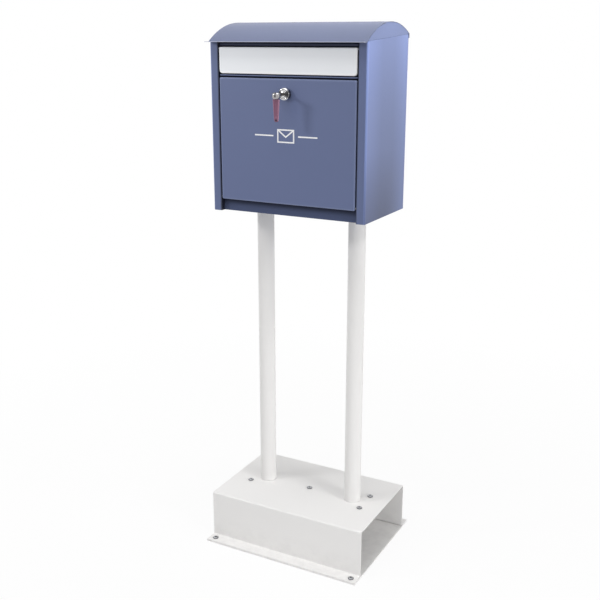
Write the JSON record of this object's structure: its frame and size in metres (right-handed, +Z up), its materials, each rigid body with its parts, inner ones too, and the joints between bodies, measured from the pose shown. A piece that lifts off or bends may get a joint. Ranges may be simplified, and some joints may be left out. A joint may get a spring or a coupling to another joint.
{
  "type": "post box",
  "caption": "Sheet-steel letter box on two tube posts: bowed roof, top-hung letter flap, drop-down door with cam lock and folding key, tunnel base.",
  "frame": {"origin": "middle of the floor plate's underside", "axes": "+Z up, the front with its flap and door faces -Y, +X to the right seen from the front"},
  "size_m": [0.39, 0.3092, 1.194],
  "materials": {
    "blue_enamel": "satin blue-grey enamel",
    "white_enamel": "satin white enamel",
    "zinc_plate": "zinc plate",
    "bright_chrome": "polished",
    "key_metal": "nickelled, worn",
    "mauve_plastic": "moulded"
  },
  "bodies": {
    "frame": {"case_shell": "blue_enamel", "case_floor": "blue_enamel", "bottom_rail": "blue_enamel", "cross_rail": "blue_enamel", "top_rail": "blue_enamel", "roof_sheet": "blue_enamel", "roof_end_left": "blue_enamel", "roof_end_right": "blue_enamel", "base_plate": "white_enamel", "base_cover": "white_enamel", "post_left": "white_enamel", "post_right": "white_enamel", "post_head_plate_left": "white_enamel", "post_head_plate_right": "white_enamel", "post_foot_plate": "zinc_plate", "flap_rod": "zinc_plate", "door_pivot_left": "zinc_plate", "door_pivot_right": "zinc_plate", "flange_screw_1": "zinc_plate", "flange_screw_2": "zinc_plate", "flange_screw_3": "zinc_plate", "flange_screw_4": "zinc_plate", "foot_screw_1": "zinc_plate", "foot_screw_2": "zinc_plate", "foot_screw_3": "zinc_plate", "foot_screw_4": "zinc_plate", "foot_screw_5": "zinc_plate", "case_screw_1": "zinc_plate", "case_screw_2": "zinc_plate", "case_screw_3": "zinc_plate", "case_screw_4": "zinc_plate"},
    "flap": {"letter_flap": "white_enamel"},
    "door": {"door": "blue_enamel", "lock_housing": "bright_chrome", "lock_nut": "zinc_plate"},
    "lock": {"lock_plug": "bright_chrome", "lock_cam": "zinc_plate", "cam_screw": "zinc_plate"},
    "key": {"key_blade": "key_metal", "key_pin": "zinc_plate"},
    "key_grip": {"key_fork": "bright_chrome", "key_grip": "mauve_plastic"}
  },
  "joints": [
    {"name": "flap_swing", "type": "hinge", "parent": "frame", "child": "flap", "pos_m": [0, -0.1038, 1.1415], "axis": [-1, 0, 0], "range_deg": [0, 85]},
    {"name": "door_drop", "type": "hinge", "parent": "frame", "child": "door", "pos_m": [0, -0.103, 0.8325], "axis": [1, 0, 0], "range_deg": [0, 90]},
    {"name": "lock_turn", "type": "hinge", "parent": "door", "child": "lock", "pos_m": [0, -0.108, 1.0535], "axis": [0, -1, 0], "range_deg": [0, 90]},
    {"name": "key_pull", "type": "slide", "parent": "lock", "child": "key", "axis": [0, -1, 0], "range_m": [0, 0.015]},
    {"name": "grip_fold", "type": "hinge", "parent": "key", "child": "key_grip", "pos_m": [0, -0.146, 1.0535], "axis": [-1, 0, 0], "range_deg": [0, 90]}
  ]
}
